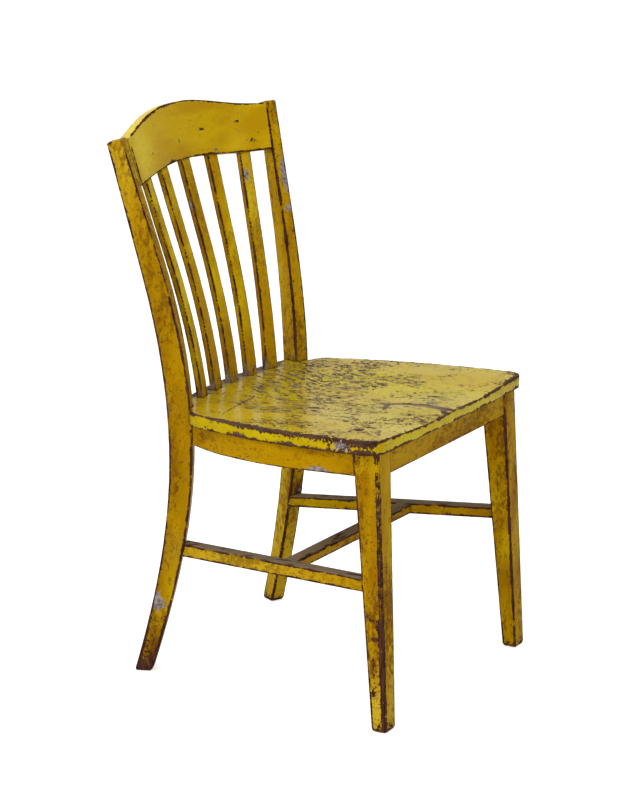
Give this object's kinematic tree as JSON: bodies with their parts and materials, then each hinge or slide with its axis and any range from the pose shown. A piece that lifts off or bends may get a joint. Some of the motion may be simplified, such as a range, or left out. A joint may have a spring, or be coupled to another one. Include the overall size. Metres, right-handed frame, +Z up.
{
  "type": "wooden side chair",
  "caption": "Painted wooden side chair with a dished seat, vertical back slats, curved crest rail and stretchers, the yellow paint chipped to dark bare wood",
  "frame": {"origin": "on the floor, under the middle of the chair's box", "axes": "the sitter faces -Y, +Z is up, +X is the sitter's left"},
  "size_m": [0.4896, 0.5486, 0.8562],
  "materials": {
    "seat_paint": "glossy yellow paint, chipped and grimy, dark bare wood on the edges",
    "rear_post_left_paint": "glossy yellow paint, chipped and grimy, dark bare wood on the edges",
    "rear_post_right_paint": "glossy yellow paint, chipped and grimy, dark bare wood on the edges",
    "crest_rail_paint": "glossy yellow paint, chipped and grimy, dark bare wood on the edges",
    "slat_1_paint": "glossy yellow paint, chipped and grimy, dark bare wood on the edges",
    "slat_2_paint": "glossy yellow paint, chipped and grimy, dark bare wood on the edges",
    "slat_3_paint": "glossy yellow paint, chipped and grimy, dark bare wood on the edges",
    "slat_4_paint": "glossy yellow paint, chipped and grimy, dark bare wood on the edges",
    "slat_5_paint": "glossy yellow paint, chipped and grimy, dark bare wood on the edges",
    "front_leg_left_paint": "glossy yellow paint, chipped and grimy, dark bare wood on the edges",
    "front_leg_right_paint": "glossy yellow paint, chipped and grimy, dark bare wood on the edges",
    "apron_front_paint": "glossy yellow paint, chipped and grimy, dark bare wood on the edges",
    "apron_left_paint": "glossy yellow paint, chipped and grimy, dark bare wood on the edges",
    "apron_right_paint": "glossy yellow paint, chipped and grimy, dark bare wood on the edges",
    "apron_rear_paint": "glossy yellow paint, chipped and grimy, dark bare wood on the edges",
    "side_stretcher_left_paint": "glossy yellow paint, chipped and grimy, dark bare wood on the edges",
    "side_stretcher_right_paint": "glossy yellow paint, chipped and grimy, dark bare wood on the edges",
    "cross_stretcher_paint": "glossy yellow paint, chipped and grimy, dark bare wood on the edges",
    "corner_block_front_left_wood": "bare wood, darkened with age",
    "corner_block_front_right_wood": "bare wood, darkened with age",
    "corner_block_rear_left_wood": "bare wood, darkened with age",
    "corner_block_rear_right_wood": "bare wood, darkened with age",
    "seat_screw_front_left_steel": "dull rusted steel",
    "seat_screw_front_right_steel": "dull rusted steel",
    "seat_screw_rear_left_steel": "dull rusted steel",
    "seat_screw_rear_right_steel": "dull rusted steel",
    "repair_bolt_steel": "dull rusted steel",
    "repair_washer_steel": "dull rusted steel"
  },
  "bodies": {
    "root": {"seat": "seat_paint", "rear_post_left": "rear_post_left_paint", "rear_post_right": "rear_post_right_paint", "crest_rail": "crest_rail_paint", "slat_1": "slat_1_paint", "slat_2": "slat_2_paint", "slat_3": "slat_3_paint", "slat_4": "slat_4_paint", "slat_5": "slat_5_paint", "front_leg_left": "front_leg_left_paint", "front_leg_right": "front_leg_right_paint", "apron_front": "apron_front_paint", "apron_left": "apron_left_paint", "apron_right": "apron_right_paint", "apron_rear": "apron_rear_paint", "side_stretcher_left": "side_stretcher_left_paint", "side_stretcher_right": "side_stretcher_right_paint", "cross_stretcher": "cross_stretcher_paint", "corner_block_front_left": "corner_block_front_left_wood", "corner_block_front_right": "corner_block_front_right_wood", "corner_block_rear_left": "corner_block_rear_left_wood", "corner_block_rear_right": "corner_block_rear_right_wood", "seat_screw_front_left": "seat_screw_front_left_steel", "seat_screw_front_right": "seat_screw_front_right_steel", "seat_screw_rear_left": "seat_screw_rear_left_steel", "seat_screw_rear_right": "seat_screw_rear_right_steel", "repair_bolt": "repair_bolt_steel", "repair_washer": "repair_washer_steel"}
  },
  "joints": []
}
